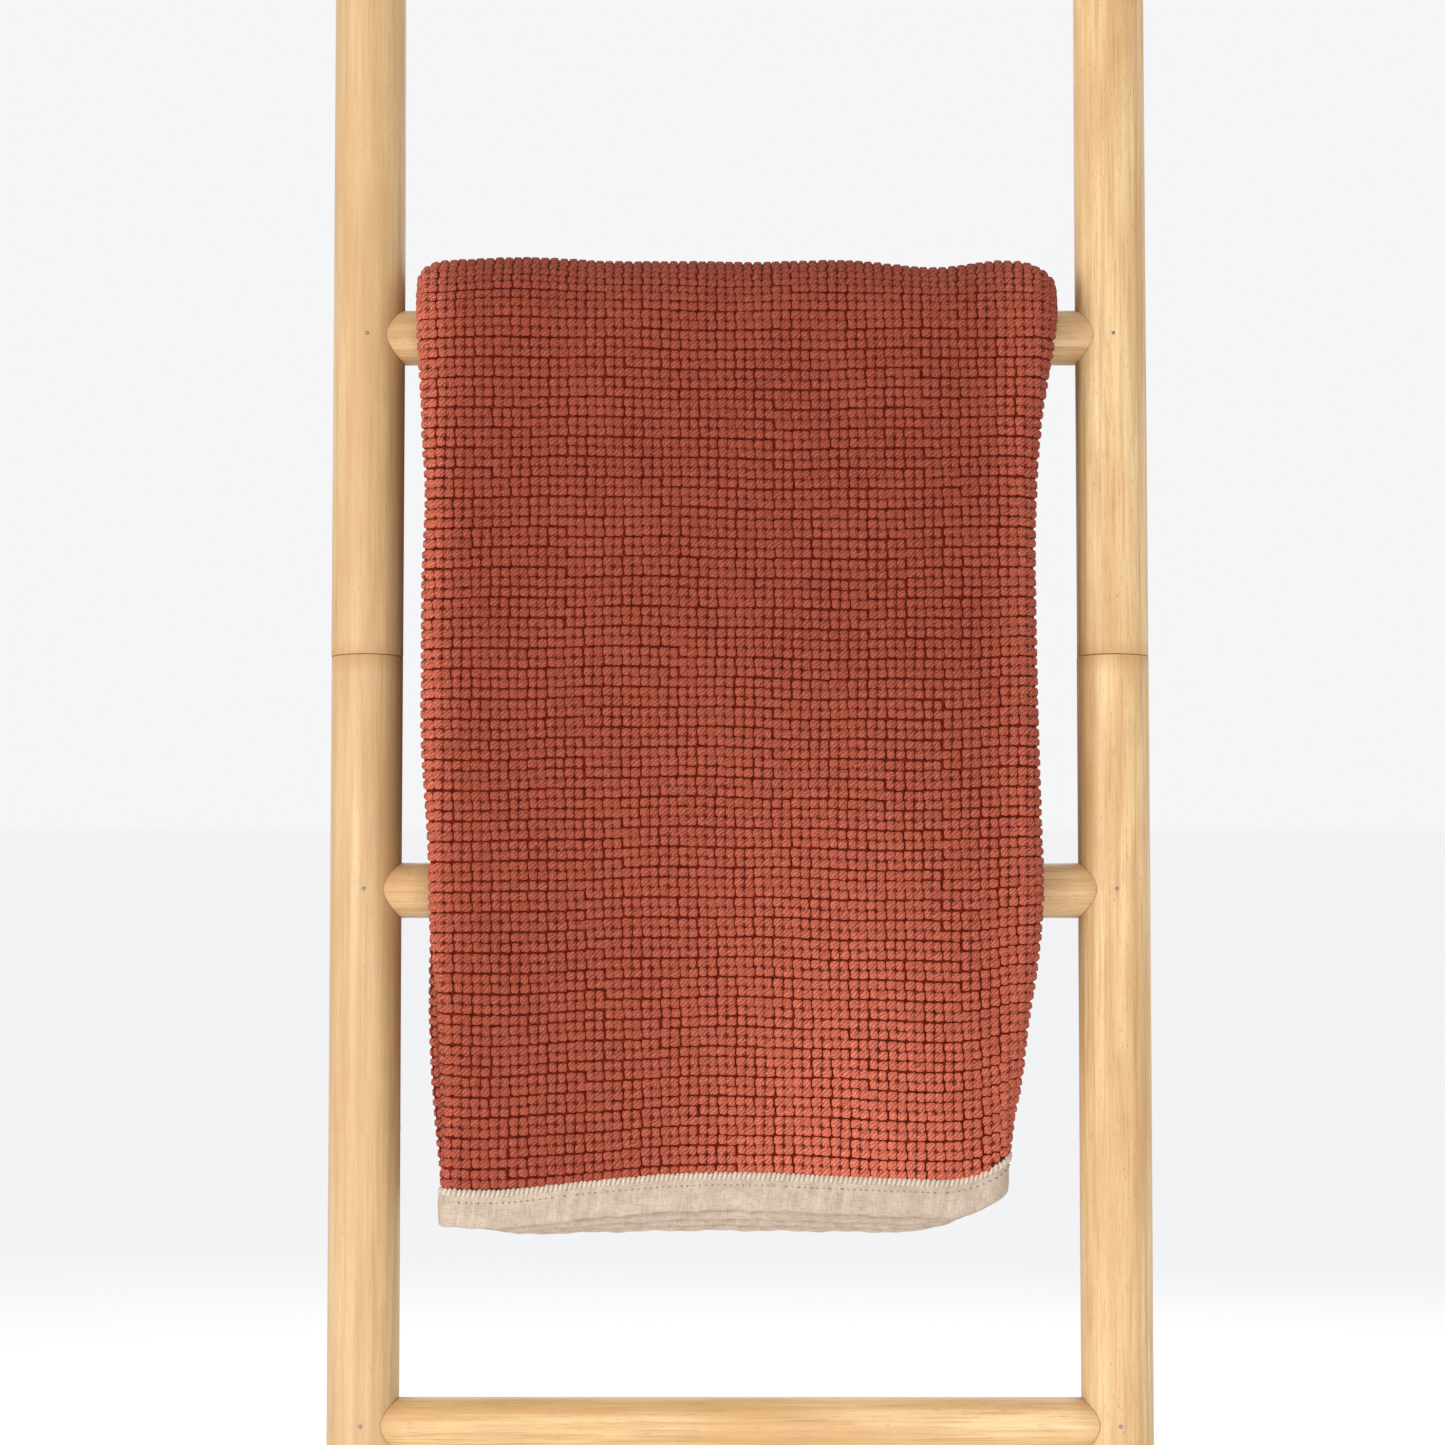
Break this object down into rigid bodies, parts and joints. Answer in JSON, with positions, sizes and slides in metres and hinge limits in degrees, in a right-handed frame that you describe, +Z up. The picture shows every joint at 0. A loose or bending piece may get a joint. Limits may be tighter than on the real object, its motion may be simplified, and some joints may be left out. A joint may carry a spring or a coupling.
{
  "type": "quilt on a blanket ladder",
  "caption": "Leaning bamboo blanket ladder with round coped rungs and a thick woven cotton throw, folded lengthwise and hung over one rung, with a linen binding on its hanging ends.",
  "frame": {"origin": "centre of the footprint, on the floor that the feet stand on", "axes": "+Z up, +X to the right seen from the front, +Y towards the wall that the ladder leans on, so the front is -Y"},
  "size_m": [0.5, 0.1748, 1.4962],
  "materials": {
    "bamboo": "sanded bamboo culm with a satin lacquer",
    "beech": "plain beech dowel",
    "steel": "dull steel pin and screw heads",
    "cotton": "thick terracotta cotton in a raised basket weave",
    "linen": "natural linen binding, stitched"
  },
  "bodies": {
    "ladder": {"pole_left_lower": "bamboo", "pole_left_upper": "bamboo", "pole_right_lower": "bamboo", "pole_right_upper": "bamboo", "rung_1": "bamboo", "rung_2": "bamboo", "rung_3": "bamboo", "rung_4": "bamboo", "spigot_left": "beech", "spigot_right": "beech", "rung_1_dowel_left": "beech", "rung_1_dowel_right": "beech", "rung_2_dowel_left": "beech", "rung_2_dowel_right": "beech", "rung_3_dowel_left": "beech", "rung_3_dowel_right": "beech", "rung_4_dowel_left": "beech", "rung_4_dowel_right": "beech", "spigot_screw_left_lower": "steel", "spigot_screw_left_upper": "steel", "spigot_screw_right_lower": "steel", "spigot_screw_right_upper": "steel", "rung_1_pin_left": "steel", "rung_1_pin_right": "steel", "rung_2_pin_left": "steel", "rung_2_pin_right": "steel", "rung_3_pin_left": "steel", "rung_3_pin_right": "steel", "rung_4_pin_left": "steel", "rung_4_pin_right": "steel"},
    "quilt": {"quilt_cloth": "cotton", "quilt_binding_front": "linen", "quilt_binding_back": "linen"}
  },
  "joints": [
    {"name": "quilt_lift", "type": "slide", "parent": "ladder", "child": "quilt", "axis": [0, 0, 1], "range_m": [0, 0.27]}
  ]
}
